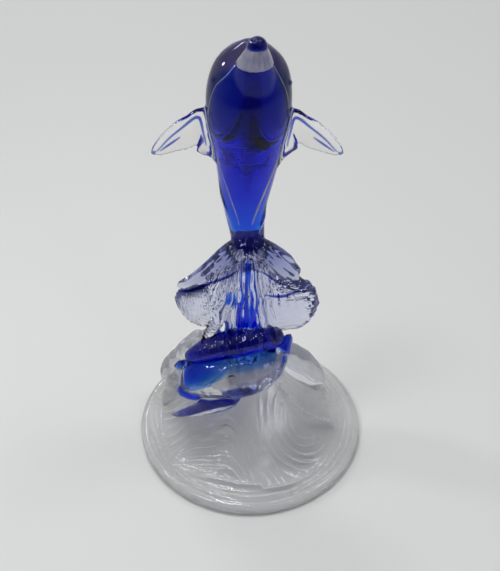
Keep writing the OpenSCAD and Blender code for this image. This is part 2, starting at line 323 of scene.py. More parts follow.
def add_ripple(mat, scale, strength, distance, detail=2.0):
    """Faint hand-worked unevenness."""
    tree = mat.node_tree
    where = tree.nodes.new("ShaderNodeTexCoord")
    noise = tree.nodes.new("ShaderNodeTexNoise")
    noise.inputs["Scale"].default_value = scale
    noise.inputs["Detail"].default_value = detail
    bumps = tree.nodes.new("ShaderNodeBump")
    bumps.inputs["Strength"].default_value = strength
    bumps.inputs["Distance"].default_value = distance
    tree.links.new(where.outputs["Object"], noise.inputs["Vector"])
    tree.links.new(noise.outputs["Fac"], bumps.inputs["Height"])
    tree.links.new(bumps.outputs["Normal"], tree.nodes["Principled BSDF"].inputs["Normal"])


def add_absorption(mat, colour, density):
    """Colour that deepens with thickness; density is per metre."""
    tree = mat.node_tree
    volume = tree.nodes.new("ShaderNodeVolumeAbsorption")
    volume.inputs["Color"].default_value = (*colour, 1)
    volume.inputs["Density"].default_value = density
    tree.links.new(volume.outputs["Volume"], tree.nodes["Material Output"].inputs["Volume"])


def clear_glass():
    mat = glass("clear_crystal", sheen=(0.55, 0.60, 1.0))
    add_ripple(mat, 120, 0.15, 0.2 * MM)
    add_absorption(mat, (0.45, 0.50, 0.90), 3.0)
    return mat


def spout_glass():
    mat = glass("spout_crystal", sheen=(0.8, 0.85, 1.0))
    add_ripple(mat, 500, 0.12, 0.1 * MM)
    add_absorption(mat, (0.25, 0.32, 0.80), 40.0)
    return mat


def foot_glass():
    mat = glass("satin_crystal", roughness=0.04, milk=0.26)
    add_ripple(mat, 420, 0.6, 0.3 * MM, detail=4.0)
    add_absorption(mat, (0.55, 0.62, 0.86), 6.0)
    return mat


def crest_glass():
    mat = glass("frosted_crystal", roughness=0.16, milk=0.20)
    add_ripple(mat, 380, 0.7, 0.3 * MM, detail=4.0)
    add_absorption(mat, (0.50, 0.60, 0.86), 24.0)
    return mat


def tinted(name, colour, density):
    """A colour held inside clear glass of the same index, so its surface bends nothing."""
    mat = glass(name, ior=1.0)
    add_absorption(mat, colour, density)
    return mat


def swell_glass():
    mat = glass("smooth_crystal", roughness=0.03, milk=0.06)
    add_ripple(mat, 260, 0.3, 0.2 * MM)
    add_absorption(mat, (0.50, 0.60, 0.86), 20.0)
    return mat


def crown_glass():
    """The smoky violet haze inside the head."""
    mat = glass("violet_crown", roughness=0.2, ior=1.0, milk=0.20, tint=(0.42, 0.36, 0.72))
    add_absorption(mat, (0.25, 0.20, 0.60), 60.0)
    return mat


def pooled_glass():
    """Cobalt dense enough to scatter blue at its surface."""
    mat = glass("pooled_cobalt", roughness=0.3, ior=1.0, milk=0.55, tint=(0.01, 0.015, 0.50))
    add_absorption(mat, (0.05, 0.28, 0.93), 520.0)
    return mat


def milky_glass():
    mat = glass("milky_joint", roughness=0.3, ior=1.0, milk=0.45)
    add_ripple(mat, 900, 0.8, 0.3 * MM)
    return mat


def bead_glass():
    mat = glass("cobalt_bead", roughness=0.02)
    add_absorption(mat, (0.0, 0.2, 0.75), 1200.0)
    return mat


def painted_highlight_glass():
    """Painted highlight: the pale line where a fold in the clear skin catches the light."""
    return glass("painted_fold_highlight", roughness=0.2, ior=1.0, milk=0.85)


CLEAR = clear_glass()
SPOUT = spout_glass()
SATIN = foot_glass()
FROST = crest_glass()
SWELL = swell_glass()
MILK = milky_glass()
# Painted highlight: pale, nearly white glass laid on the front folds where they catch the light.
PAINTED_HIGHLIGHT = painted_highlight_glass()
COBALT = tinted("cobalt_core", (0.0, 0.62, 0.962), 950.0)
FIN = tinted("fin_cobalt", (0.0, 0.42, 0.955), 1500.0)
PALE = tinted("pale_cobalt_core", (0.0, 0.48, 0.93), 900.0)
NAVY = tinted("dense_cobalt_core", (0.0, 0.20, 0.91), 1500.0)
THREAD = tinted("cobalt_thread", (0.0, 0.12, 0.74), 2600.0)
BRIGHT = tinted("bright_cobalt_core", (0.0, 0.50, 0.965), 2200.0)
SMOKE = tinted("smoky_core", (0.18, 0.25, 0.68), 300.0)
VIOLET = crown_glass()
DOME = tinted("dome_core", (0.0, 0.20, 0.86), 2600.0)
POOL = pooled_glass()
BEAD = bead_glass()


def finish_piece(obj, mat, slot, *nodes):
    """Gives a piece its material and hides the CAD nodes that it stands for."""
    obj.data.polygons.foreach_set("use_smooth", [True] * len(obj.data.polygons))
    obj.data.materials.clear()
    obj.data.materials.append(mat)
    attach(obj, "root")
    if nodes:
        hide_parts(*nodes)


# ---- Camera, floor and light ----

def make_camera():
    """In front of the figurine and above it, looking down at its middle."""
    back, up = 2.317 * FOOT_D, 2.683 * FOOT_D
    pitch_down = math.radians(38.8)
    camera = bpy.data.objects.new("camera", bpy.data.cameras.new("camera"))
    bpy.context.scene.collection.objects.link(camera)
    camera.location = (0, -back, up)
    camera.rotation_euler = (math.pi / 2 - pitch_down, 0, 0)
    camera.data.sensor_fit = "HORIZONTAL"
    camera.data.sensor_width = 36
    camera.data.lens = 54
    camera.data.clip_start = 0.01
    bpy.context.scene.camera = camera


def make_floor():
    half = 6.0
    gap = 0.1 * MM
    floor = new_object("floor", [(-half, -half, 0), (half, -half, 0), (half, half, 0), (-half, half, 0)],
                       [(0, 1, 2, 3)])
    floor.location.z = -gap
    mat = bpy.data.materials.new("pale_floor")
    mat.use_nodes = True
    shader = mat.node_tree.nodes["Principled BSDF"]
    shader.inputs["Base Color"].default_value = (0.71, 0.72, 0.715, 1)
    shader.inputs["Roughness"].default_value = 0.6
    floor.data.materials.append(mat)


def make_world():
    """Soft studio surround: pale at the horizon and overhead, with a greyer band between."""
    world = bpy.data.worlds.new("studio")
    bpy.context.scene.world = world
    world.use_nodes = True
    tree = world.node_tree
    where = tree.nodes.new("ShaderNodeTexCoord")
    split = tree.nodes.new("ShaderNodeSeparateXYZ")
    tree.links.new(where.outputs["Generated"], split.inputs["Vector"])

    def ramp(axis, stops):
        node = tree.nodes.new("ShaderNodeValToRGB")
        elements = node.color_ramp.elements
        for element, (place, grey) in zip(elements, (stops[0], stops[-1])):
            element.position = place
            element.color = (grey, grey, grey, 1)
        for place, grey in stops[1:-1]:
            elements.new(place).color = (grey, grey, grey, 1)
        shift = tree.nodes.new("ShaderNodeMapRange")
        shift.inputs["From Min"].default_value = -1
        tree.links.new(split.outputs[axis], shift.inputs["Value"])
        tree.links.new(shift.outputs["Result"], node.inputs["Fac"])
        return node.outputs["Color"]

    height = ramp("Z", [(0.0, 0.50), (0.64, 0.50), (0.74, 0.22), (0.86, 0.28), (1.0, 0.40)])
    front = ramp("Y", [(0.0, 0.15), (0.25, 0.45), (0.5, 1.0), (1.0, 1.0)])
    both = tree.nodes.new("ShaderNodeMixRGB")
    both.blend_type = "MULTIPLY"
    both.inputs["Fac"].default_value = 1
    tree.links.new(height, both.inputs["Color1"])
    tree.links.new(front, both.inputs["Color2"])
    tree.links.new(both.outputs["Color"], tree.nodes["Background"].inputs["Color"])


def make_light(name, place, size, power):
    """A soft area light, placed in foot diameters and aimed at the middle of the figurine."""
    light = bpy.data.lights.new(name, "AREA")
    light.shape = "RECTANGLE"
    light.size, light.size_y = size[0] * FOOT_D, size[1] * FOOT_D
    light.energy = power
    obj = bpy.data.objects.new(name, light)
    bpy.context.scene.collection.objects.link(obj)
    obj.location = Vector(place) * FOOT_D
    aim = Vector((0, 0, HIGH[2] / 2)) - obj.location
    obj.rotation_euler = aim.to_track_quat("-Z", "Y").to_euler()


# ---- Foot ----

def mound_height(x, y):
    """The plain water mound of the CAD model."""
    inner_r = corners("wave_mound")[1][0]
    rim_top = corners("wave_mound")[0][2]
    summit = corners("wave_mound")[1][2]
    spout_r = corners("spout_column")[1][0] - 0.3 * MM
    r = np.hypot(x, y)
    rise = np.clip((inner_r - np.maximum(r, spout_r)) / (inner_r - spout_r), 0, 1)
    return rim_top + (summit - rim_top) * rise ** 1.8


def curl_relief(x, y):
    """Nested arcs of the breaking wave at the right front."""
    mid_x, mid_y = 0.43 * FOOT_R, -0.30 * FOOT_R
    dx, dy = x - mid_x, y - mid_y
    rho, theta = np.hypot(dx, dy), np.degrees(np.arctan2(dy, dx)) % 360
    wide = fade(rho, 1 * MM, 5 * MM) * (1 - fade(rho, 13 * MM, 19 * MM))
    turn = fade(theta, 95, 135) * (1 - fade(theta, 325, 358))
    spiral = 0.5 + 0.5 * np.cos(2 * math.pi * (rho / (2.6 * MM) - theta / 360))
    fine = np.cos(2 * math.pi * rho / (1.05 * MM) + 2 * np.sin(theta / 20))
    return wide * turn * (0.85 * MM * spiral ** 1.8 + 0.10 * MM * fine), wide * turn


def stroke_relief(x, y):
    """Long strokes that sweep from the left over the front of the mound."""
    bend = y + 0.22 * FOOT_R + 0.0185 / MM * (x + 0.54 * FOOT_R) ** 2
    wobble = 0.35 * np.sin(x / (5.3 * MM)) + 0.2 * np.sin(x / (2.3 * MM) + 1.3)
    phase = bend / (3.6 * MM) + 1.6 * wobble
    coarse = 0.5 + 0.5 * np.cos(2 * math.pi * phase)
    fine = np.cos(2 * math.pi * (bend / (1.3 * MM) + 2 * wobble))
    patchy = waves(np.column_stack([x, y, 0 * x]), 41, 13 * MM)
    depth = np.clip(0.55 + 0.45 * patchy, 0.05, 1.2)
    return 1.0 * MM * depth * coarse ** 2.0 + 0.12 * MM * fine


def crest_relief(x, y):
    """Serrated crest line at the right, with a smooth swell behind it."""
    keys = np.array([[0.22, -0.13], [0.32, -0.19], [0.42, -0.24], [0.54, -0.24], [0.72, -0.21]]) * FOOT_R
    ridge_y = np.interp(x, keys[:, 0], keys[:, 1])
    there = fade(x, 0.20 * FOOT_R, 0.30 * FOOT_R) * (1 - fade(x, 0.72 * FOOT_R, 0.86 * FOOT_R))
    behind = y - ridge_y
    notch = 0.75 + 0.25 * np.sin(2 * math.pi * x / (1.5 * MM))
    lip = np.where(behind < 0, bump(behind, 0.6 * MM), bump(behind, 1.6 * MM)) * notch
    swell = np.where(behind < 0, bump(behind, 1.0 * MM), bump(behind, 9 * MM))
    return there * (1.5 * MM * lip + 2.0 * MM * swell)


def rim_strokes(xy, r):
    """Drawn-out strokes that run round the foot."""
    turn = np.arctan2(xy[:, 1], xy[:, 0])
    drift = waves(np.column_stack([xy, 0 * turn]), 31, 16 * MM)
    return 0.20 * MM * np.cos(2 * math.pi * (r / (1.9 * MM) + 0.5 * np.sin(2 * turn + 1)) + 1.5 * drift)


def foot():
    """Flat underside, rolled rim and worked mound, as one skin of level rings."""
    toe_r = 0.835 * FOOT_R
    around = 640
    angles = np.linspace(0, 2 * math.pi, around, endpoint=False)
    unit_ring = np.stack([np.cos(angles), np.sin(angles)], 1)
    toe = toe_r * (1 + 0.012 * np.sin(5 * angles + 0.6) + 0.008 * np.sin(11 * angles))
    in_front = fade(-np.sin(angles), 0.72, 0.92)
    toe = toe + in_front * 0.9 * MM * np.tanh((toe_r * np.cos(angles) - 4 * MM) / (0.7 * MM))

    def relief(x, y, r):
        inside = fade(toe - r, -0.3 * MM, 1.6 * MM)
        curl, curl_share = curl_relief(x, y)
        back = fade(y, 0.1 * FOOT_R, 0.4 * FOOT_R)
        strokes = stroke_relief(x, y) * (1 - curl_share) * (1 - fade(x, 0.15 * FOOT_R, 0.4 * FOOT_R))
        lumps = waves(np.column_stack([x, y, 0 * x]), 8, 8 * MM) * 0.35 * MM * back
        near_spout = fade(r, 0.2 * FOOT_R, 0.34 * FOOT_R)
        detail = near_spout * (curl + strokes * (1 - back)) + crest_relief(x, y) + lumps
        edge = (0.15 + 0.8 * in_front) * MM * bump(r - toe, 0.7 * MM)
        return mound_height(x, y) + inside * detail * fade(toe - r, 0, 5 * MM) + edge

    underside_rings, rim_rings, mound_rings = 10, 22, 230
    round_r, mound_inset, centre_r = 2.1 * MM, 2.8 * MM, 0.4 * MM
    rings = []
    for r in np.linspace(0.02, 0.94, underside_rings) * FOOT_R:
        rings.append(np.column_stack([unit_ring * r, np.zeros(around)]))
    for a in np.linspace(-90, 100, rim_rings):
        r = FOOT_R - round_r + round_r * math.cos(math.radians(a))
        z = round_r + round_r * math.sin(math.radians(a))
        rings.append(np.column_stack([unit_ring * r, np.full(around, z)]))
    for r in np.linspace(FOOT_R - mound_inset, centre_r, mound_rings):
        xy = unit_ring * r
        z = relief(xy[:, 0], xy[:, 1], r)
        z = z - 0.8 * MM * bump(r - 0.945 * FOOT_R, 0.6 * MM)
        behind = fade(xy[:, 1], 0.1 * FOOT_R, 0.4 * FOOT_R) * fade(r, 0.2 * FOOT_R, 0.34 * FOOT_R)
        z = z + rim_strokes(xy, r) * np.maximum(behind, fade(r, toe_r, toe_r + 1.5 * MM))
        rings.append(np.column_stack([xy, z]))
    return loft("foot_glass", rings)


def crest(name, node, rise, seed):
    """A frosted, scalloped sheet of water that stands on the CAD crest's ridge."""
    obj = fused(name, [copy_of(node, name + "_melt", 0.5 * MM)], VOXEL, 4)
    low, high = corners(node)

    def scallops(points, normals):
        share = np.clip((points[:, 2] - low[2]) / (high[2] - low[2]), 0, 1)
        angle = np.arctan2(points[:, 1], points[:, 0])
        flutes = np.cos(34 * angle + 0.6 * waves(points, seed, 9 * MM))
        return share * rise * (0.6 * flutes + 0.3 * waves(points, seed + 1, 3 * MM))

    return push(obj, scallops)


# ---- Dolphin ----

def oval_rings(rows, around, bulge=1.0):
    """Level rings from slices across Z."""
    angles = np.linspace(0, 2 * math.pi, around, endpoint=False)
    rings = []
    for z, x0, x1, y0, y1 in rows:
        mid = np.array([(x0 + x1) / 2, (y0 + y1) / 2])
        half = np.array([(x1 - x0) / 2, (y1 - y0) / 2]) * bulge
        xy = mid + np.stack([np.cos(angles), np.sin(angles)], 1) * half
        rings.append(np.column_stack([xy, np.full(around, z)]))
    return rings


def body_loft(name, node, count=BODY_SLICES, around=120):
    return loft(name, oval_rings(outline(node, count), around))


def flipper_blade(node):
    """The CAD flipper with a thick leading edge above and a thin trailing edge below."""
    obj = copy_of(node, node + "_melt", 0.1 * MM)
    rows = slices(node, X_AXIS, 60)
    mesh = obj.data
    points = vertex_points(mesh)
    middle = np.interp(points[:, 0], rows[:, 0], (rows[:, 1] + rows[:, 2]) / 2)
    bottom = np.interp(points[:, 0], rows[:, 0], rows[:, 3])
    top = np.interp(points[:, 0], rows[:, 0], rows[:, 4])
    share = np.clip((points[:, 2] - bottom) / (top - bottom), 0, 1)
    from_axis, root_x = np.abs(points[:, 0]), 0.27 * FOOT_R
    outward = fade(from_axis, root_x, 0.37 * FOOT_R)
    web = bump(from_axis - root_x, 0.09 * FOOT_R) * (1 - share) ** 2
    points[:, 2] += web * 3.2 * MM
    slim = 1 - outward * (0.62 - 0.85 * share ** 1.5)
    points[:, 1] = middle + (points[:, 1] - middle) * slim
    mesh.vertices.foreach_set("co", points.ravel())
    mesh.update()
    return obj


def dolphin_skin():
    """One melted clear skin over the body, beak, flippers, fin and flukes."""
    parts = [body_loft("body", "body_casing")]
    parts += [flipper_blade(node) for node in ("flipper_left", "flipper_right")]
    for node in ("beak", "dorsal_fin", "tail_flukes"):
        parts.append(copy_of(node, node + "_melt", 0.15 * MM))
    parts.append(copy_of("beak_tip", "beak_tip_melt", 0.25 * MM))
    skin = fused("dolphin_glass", parts, VOXEL, 10)
    stock_z = corners("body_casing")[0][2] + 7 * MM
    flipper_z = corners("flipper_left")[0][2]
    apex_x = -0.02 * FOOT_R

    def folds(points, normals):
        x, z = points[:, 0], points[:, 2]
        up = np.clip((z - stock_z) / (flipper_z - stock_z), 0, 1.3)
        front = fade(-normals[:, 1], 0.05, 0.4) * fade(z, stock_z - 1 * MM, stock_z + 5 * MM)
        front = front * (1 - fade(z, flipper_z - 1 * MM, flipper_z + 6 * MM))
        right = bump(x - (0.4 + 9.4 * up ** 0.9) * MM, 0.65 * MM)
        left = bump(x - (-2.6 - 8.0 * up ** 0.9) * MM, 0.65 * MM)
        seam = 0.5 * MM * right + 0.3 * MM * left
        angle = np.arctan2(x - apex_x, stock_z + 5 * MM - z)
        reach = np.hypot(x - apex_x, stock_z + 5 * MM - z)
        below = 1 - fade(z, stock_z - 2 * MM, stock_z + 1 * MM)
        rays = np.cos(58 * angle + 0.8 * waves(points, 4, 16 * MM)) + 0.5 * np.cos(23 * angle)
        spread = fade(reach, 3 * MM, 9 * MM)
        return (front * seam + below * spread * 0.12 * MM * rays
                + 0.04 * MM * waves(points, 3, 9 * MM))

    return push(skin, folds)


def flipper_lines(side, node):
    """Blue thread along the leading edge and down the root, with a dark tip."""
    blade_height = 15.2 * MM

    def at(u, v, w, radius):
        u = u if side < 0 else 1 - u
        x, y, top = within(node, (u, v, 1))
        return [x, y, top - (1 - w) * blade_height, radius * MM]

    edge = strand(node + "_edge", [at(0.10, 0.5, 0.16, 0.22), at(0.30, 0.5, 0.42, 0.30),
                                   at(0.52, 0.5, 0.64, 0.36), at(0.70, 0.5, 0.80, 0.42),
                                   at(0.77, 0.5, 0.78, 0.46), at(0.81, 0.5, 0.58, 0.36),
                                   at(0.84, 0.5, 0.42, 0.30), at(0.86, 0.5, 0.26, 0.24)])
    inner = strand(node + "_inner", [at(0.14, 0.5, 0.16, 0.22), at(0.30, 0.5, 0.30, 0.40),
                                     at(0.46, 0.5, 0.44, 0.26)])
    tip = strand(node + "_tip", [at(0.03, 0.35, 0.10, 0.24), at(0.05, 0.38, 0.13, 0.40),
                                 at(0.09, 0.42, 0.17, 0.22)])
    return joined(node + "_thread_glass", [edge, inner, tip])


def crown_core():
    """The head's smoky violet shade: it shows beside and behind the blue, not in front of it."""
    first_slice = 112
    rows = outline("body_casing")[first_slice:]
    lift = fade(rows[:, 0], rows[0, 0], rows[0, 0] + 9 * MM)
    half = (rows[:, 2] - rows[:, 1]) / 2 * (1 - lift) * 0.25
    rows[:, 1] += half
    rows[:, 2] -= half
    rows[:, 3] += np.minimum(3.2 * MM, 0.4 * (rows[:, 4] - rows[:, 3]))
    return loft("crown_core_glass", oval_rings(rows, 96, 0.93))


def throat_strand():
    """The denser streak of blue that runs down inside the throat."""
    low, high = corners("body_core")
    x = (low[0] + high[0]) / 2 + 1.2 * MM
    y = low[1]
    left_depth_drop_radius = [(0.0, 7.0, 1, 1.0), (0.0, 5.0, 6, 1.9), (0.6, 4.2, 12, 2.7),
                              (1.0, 4.6, 20, 2.4), (1.4, 6.0, 30, 1.3), (1.6, 7.0, 38, 0.4)]
    keys = [(x - left * MM, y + depth * MM, high[2] - drop * MM, radius * MM)
            for left, depth, drop, radius in left_depth_drop_radius]
    return strand("throat_strand_glass", keys, 8, 24)


def painted_fold_highlights():
    """Painted highlights: pale strands laid on the folds down the front where the ridges catch the light,
    two from the flipper roots to the stock, two over the shoulders.
    """
    rows = outline("body_casing")
    crown_z = corners("body_casing")[1][2]
    top_z = corners("flipper_left")[0][2] + 10 * MM
    foot_z = corners("body_casing")[0][2] + 14 * MM

    def thread(name, top_x, foot_x, thick):
        keys = []
        for share in np.linspace(0, 1, 12):
            z = foot_z + (top_z - foot_z) * share
            x = (foot_x + (top_x - foot_x) * share ** 1.12) * MM
            middle, off, y = front_at(rows, x, z, 0.93)
            width = thick * (0.35 + 0.65 * math.sin(math.pi * min(share * 0.9 + 0.08, 1)))
            keys.append(((middle + off) * 0.985, y + 0.45 * MM, z, width * MM))
        return strand(name, keys, 4, 10)

    def shoulder(name, places, thick):
        keys = []
        for x, drop in places:
            z = crown_z - drop * MM
            middle, off, y = front_at(rows, x * MM, z, 0.95)
            keys.append((middle + off * 0.98, y + 0.4 * MM, z, thick * MM))
        return strand(name, keys, 6, 10)

    # The right fold catches more light, so its painted highlight is thicker.
    right = thread("painted_highlight_right", 9.4, 0.6, 0.38)
    left = thread("painted_highlight_left", -10.4, -3.2, 0.18)
    left_top = shoulder("painted_highlight_shoulder_left", [(-3.9, 4.3), (-6.2, 6.7), (-8.9, 9.5), (-10.6, 13.8),
                                          (-11.3, 18.3)], 0.08)
    right_top = shoulder("painted_highlight_shoulder_right", [(6.0, 4.7), (8.0, 7.7), (9.9, 12.3), (10.5, 17.3)], 0.08)
    return joined("painted_fold_highlight_threads", [right, left, left_top, right_top])


def stock_rays():
    """Dark blue that pools at the foot of the body and breaks into rays over the flukes."""
    rows = outline("body_casing")
    stock_z = corners("body_casing")[0][2]
    angles = np.linspace(0, 2 * math.pi, 128, endpoint=False)
    teeth = np.abs(np.cos(6.5 * angles + 0.3)) ** 1.5 * (0.7 + 0.3 * np.sin(3 * angles))
    rings = []
    for share in np.linspace(0, 1, 24):
        top = stock_z + (10.0 - 4.5 * share) * MM
        x0, x1, y0, y1 = extents_at(rows, top)
        fill = 0.92 * math.sin(0.5 * math.pi * min(1, 0.1 + 2.6 * share))
        fill = fill * (1 - 0.35 * share ** 3)
        z = top - share ** 1.4 * 3.2 * MM * teeth
        rings.append(np.column_stack([
            (x0 + x1) / 2 + 0.8 * MM * share + fill * (x1 - x0) / 2 * np.cos(angles),
            (y0 + y1) / 2 - 1.8 * MM * share + fill * (y1 - y0) / 2 * np.sin(angles), z]))
    return loft("stock_rays_glass", rings)


def dome():
    """The dark dome on the beak: the lower half of its ball is pressed flat."""
    low, high = corners("beak_tip")
    middle = (low[2] + high[2]) / 2
    obj = core("beak_tip_glass", "beak_tip", 4, -0.05 * MM, 0.2 * MM)
    for vert in obj.data.vertices:
        vert.co.z = max(vert.co.z, middle - 0.1 * MM + 0.12 * (vert.co.z - middle))
    return obj


def beak_joint():
    """The streaked, flared joint where the clear beak was drawn onto the head."""
    low, high = corners("beak_tip")
    mid = (low + high) / 2
    angles = np.linspace(0, 2 * math.pi, 64, endpoint=False)
    streaks = 0.20 * np.cos(17 * angles) + 0.12 * np.cos(29 * angles + 1)
    rings = []
    for share in np.linspace(0, 1, 16):
        half = (2.5 + 2.2 * share ** 0.8) * MM + streaks * MM
        z = mid[2] - (0.4 + 4.4 * share) * MM - 0.7 * MM * share * np.abs(np.sin(angles))
        rings.append(np.column_stack([
            mid[0] - 0.6 * MM * share + half * np.cos(angles),
            mid[1] + (0.3 + 1.2 * share) * MM + 0.85 * half * np.sin(angles), z]))
    return loft("beak_joint_glass", rings[::-1])


# ---- Spout ----

def frill():
    """The strand of glass that falls beside the left spray."""
    foot_z = corners("spray_left")[0][2]
    keys = np.array([(-6.6, -3.0, 12.72, 1.6), (-9.4, -4.0, 8.62, 1.9), (-12.2, -4.8, 3.62, 2.0),
                     (-14.4, -5.2, -0.18, 1.5), (-15.8, -5.4, -2.78, 0.8)]) * MM
    return strand("frill", keys + (0, 0, foot_z, 0), 8, 20)


def spout_skin():
    """One melted skin over the column, its sprays and the gather, fluted, frilled and pitted."""
    parts = [copy_of(node, node + "_melt", 0.15 * MM)
             for node in ("spout_column", "spray_left", "spray_right")]
    parts.append(copy_of("spout_gather", "gather_melt", 0.7 * MM))
    parts.append(frill())
    skin = fused("spout_glass", parts, VOXEL, 4)
    top_z = corners("spout_column")[1][2]
    foot_z = corners("spray_left")[0][2]
    flute_pitch = 0.066

    def texture(points, normals):
        x, z = points[:, 0], points[:, 2]
        left = fade(-x, 10 * MM, 15 * MM)
        right = fade(x, 7 * MM, 11 * MM)
        middle = (1 - left) * (1 - right) * fade(z, foot_z - 3 * MM, foot_z + 4 * MM)
        angle = np.arctan2(x + 0.6 * MM, top_z + 18 * MM - z)
        fan = np.cos(2 * math.pi * angle / flute_pitch + 1.3 * waves(points, 5, 11 * MM))
        fan = fan * (0.8 + 0.3 * waves(points, 16, 5 * MM)) * (1 - 0.85 * bump(x + 0.9 * MM, 3.0 * MM))
        lean = x + 0.18 * z
        grooves = np.cos(2 * math.pi * lean / (0.95 * MM) + 0.7 * waves(points, 9, 10 * MM))
        pits = waves(points, 6, 1.5 * MM, 9)
        edge = np.cos(2 * math.pi * (z - 0.25 * x) / (2.6 * MM) + 0.8 * waves(points, 7, 8 * MM))
        shelf = right * fade(z, 0.42 * HIGH[2], 0.45 * HIGH[2])
        side, drop = x + 11.4 * MM, foot_z + 9.5 * MM - z
        along = 0.88 * drop - 0.47 * side
        notches = bump(0.88 * side + 0.47 * drop, 2.4 * MM) * np.cos(2 * math.pi * along / (1.5 * MM))
        notches = notches * fade(along, -2 * MM, 1 * MM) * (1 - fade(along, 11 * MM, 14 * MM))
        notches = notches * (0.7 + 0.5 * waves(points, 17, 4 * MM))
        return (middle * 0.52 * MM * fan + left * 0.13 * MM * grooves + right * 0.11 * MM * pits
                + shelf * 0.3 * MM * edge + 0.34 * MM * notches)

    return push(skin, texture)


def gather():
    """Navy gather with a ragged comb of points that run up into the flutes."""
    low, high = corners("spout_gather")
    parts = [copy_of("spout_gather", "gather_core_melt")]
    heights = [2.4, 3.6, 5.6, 4.6, 7.4, 6.0, 8.6, 9.4, 6.6, 7.8, 9.0, 5.2, 3.6, 2.4]
    for k, height in enumerate(heights):
        share = (k + 0.5) / len(heights)
        x = low[0] + (0.22 + 0.66 * share) * (high[0] - low[0])
        y = low[1] + 0.52 * (high[1] - low[1])
        base = high[2] - 3.2 * MM - 2.4 * MM * (1 - share) ** 2
        drift = 0.6 * MM * math.cos(2.1 * k)
        parts.append(strand("tooth_%d" % k, [
            (x, y, base, 1.3 * MM), (x + 0.4 * drift, y, base + 0.45 * height * MM, 0.85 * MM),
            (x + drift, y + 0.4 * MM, base + height * MM, 0.28 * MM)]))
    mass = fused("spout_gather_glass", parts, 0.22 * MM, 2)
    return push(mass, lambda p, n: 0.30 * MM * waves(p, 11, 3.2 * MM) + 0.12 * MM * waves(p, 12, 1.3 * MM))


def spout_stripe():
    """Bright blue core up the spout, with three short leaves beside it."""
    low, high = corners("spout_core")
    mid_x, mid_y = (low[0] + high[0]) / 2, (low[1] + high[1]) / 2
    parts = [fused("stem", [copy_of("spout_core", "stem_melt", -0.35 * MM)], VOXEL, 6)]
    for offset, drop, height in ((-6.0, 10.5, 6.0), (-3.6, 10.0, 7.5), (3.6, 12.5, 4.0)):
        x, z = mid_x + offset * MM, high[2] - drop * MM
        parts.append(strand("leaf_%d" % (offset * 10), [
            (x, mid_y - 2 * MM, z, 0.3 * MM),
            (x + 0.2 * MM, mid_y - 2.4 * MM, z - 0.5 * height * MM, 0.95 * MM),
            (x - 0.3 * MM, mid_y - 2 * MM, z - height * MM, 0.3 * MM)]))
    return joined("spout_core_glass", parts)


def fluke_lines():
    """Blue edges that show along the lower side of the flukes."""
    def at(u, v, w, radius):
        return [*within("tail_flukes", (u, v, w)), radius * MM]

    left = strand("fluke_edge_left", [at(0.02, 0.5, 0.05, 0.3), at(0.14, 0.42, 0.10, 0.65),
                                      at(0.29, 0.35, 0.25, 0.45), at(0.42, 0.3, 0.37, 0.5),
                                      at(0.50, 0.25, 0.50, 0.25)])
    right = strand("fluke_edge_right", [at(0.63, 0.25, 0.52, 0.2), at(0.72, 0.3, 0.42, 0.32),
                                        at(0.81, 0.35, 0.27, 0.38), at(0.92, 0.45, 0.16, 0.3)])
    ripple = strand("fluke_ripple", [at(0.70, 0.4, 0.02, 0.2), at(0.83, 0.35, 0.0, 0.5),
                                     at(0.93, 0.4, 0.04, 0.45), at(1.02, 0.5, 0.12, 0.25)])
    return joined("fluke_edge_glass", [left, right, ripple])


# ---- Calf ----

def wedge(name, height, thick, drop=0.0):
    """The calf's beak: a pointed blade that runs down from under its belly.

    Each key is a place from the beak's lowest corner, then the blade's full height there.
    """
    keys = np.array([[0.2, 10.9, 0.4, 0.3], [3.6, 7.3, 4.0, 2.2], [8.4, 3.7, 8.8, 4.6],
                     [13.4, 0.9, 13.6, 6.6], [18.2, -0.1, 16.6, 5.2], [22.8, 0.1, 18.1, 2.4],
                     [25.4, 0.7, 18.8, 0.4]]) * MM
    keys[:, :3] += corners("calf_beak")[0]
    angles = np.linspace(0, 2 * math.pi, 40, endpoint=False)
    rise = np.array([0.10, -0.22, 0.97])
    out = np.array([-0.25, -0.94, -0.20])
    rings = []
    for x, y, z, tall in curve_through(keys, 8):
        tall = max(tall * height, 0.15 * MM)
        wide = thick * MM * min(1, 0.15 + tall / (3 * MM))
        middle = np.array([x, y, z]) + rise * (0.5 * tall - drop * MM)
        ring = middle + np.outer(np.cos(angles), rise) * tall / 2
        rings.append(ring + np.outer(np.sin(angles), out) * wide)
    return loft(name, rings)


def calf_skin():
    """One melted clear skin over the calf, with a fold across its front."""
    parts = [copy_of("calf_casing", "calf_casing_melt", 0.1 * MM)]
    parts.append(copy_of("calf_core", "calf_core_melt", 0.3 * MM))
    for node in ("calf_flipper", "calf_dorsal_fin", "calf_flukes"):
        parts.append(copy_of(node, node + "_melt", 0.5 * MM))
    parts.append(copy_of("calf_beak", "calf_beak_melt", 0.2 * MM))
    parts.append(wedge("wedge_melt", 1.25, 1.9, 0.4))
    skin = fused("calf_glass", parts, VOXEL, 6)
    low, high = corners("calf_casing")

    def folds(points, normals):
        x, z = points[:, 0], points[:, 2]
        share = (x - low[0]) / (high[0] - low[0])
        line = low[2] + (high[2] - low[2]) * (0.22 + 1.55 * share)
        front = fade(-normals[:, 1], 0.1, 0.5) * fade(share, 0.05, 0.15) * (1 - fade(share, 0.42, 0.55))
        return front * 0.4 * MM * bump((z - line) * 0.75, 0.6 * MM) + 0.05 * MM * waves(points, 13, 6 * MM)

    return push(skin, folds)


def calf_core():
    """The calf's blue: full depth at the tail end, only a band along the back at the head."""
    obj = fused("calf_core_glass", [copy_of("calf_core", "calf_core_shape", 0.2 * MM)],
                COARSE_VOXEL, 6)
    low, high = corners("calf_core")
    for vert in obj.data.vertices:
        floor = low[2] + 1.3 * MM + 0.70 * (vert.co.x - low[0] - 1.0 * MM)
        vert.co.z = max(vert.co.z, min(floor, high[2] - 2.6 * MM))
    obj.data.update()
    soften = obj.modifiers.new("soften", "SMOOTH")
    soften.factor = 0.5
    soften.iterations = 12
    return apply_modifiers(obj)


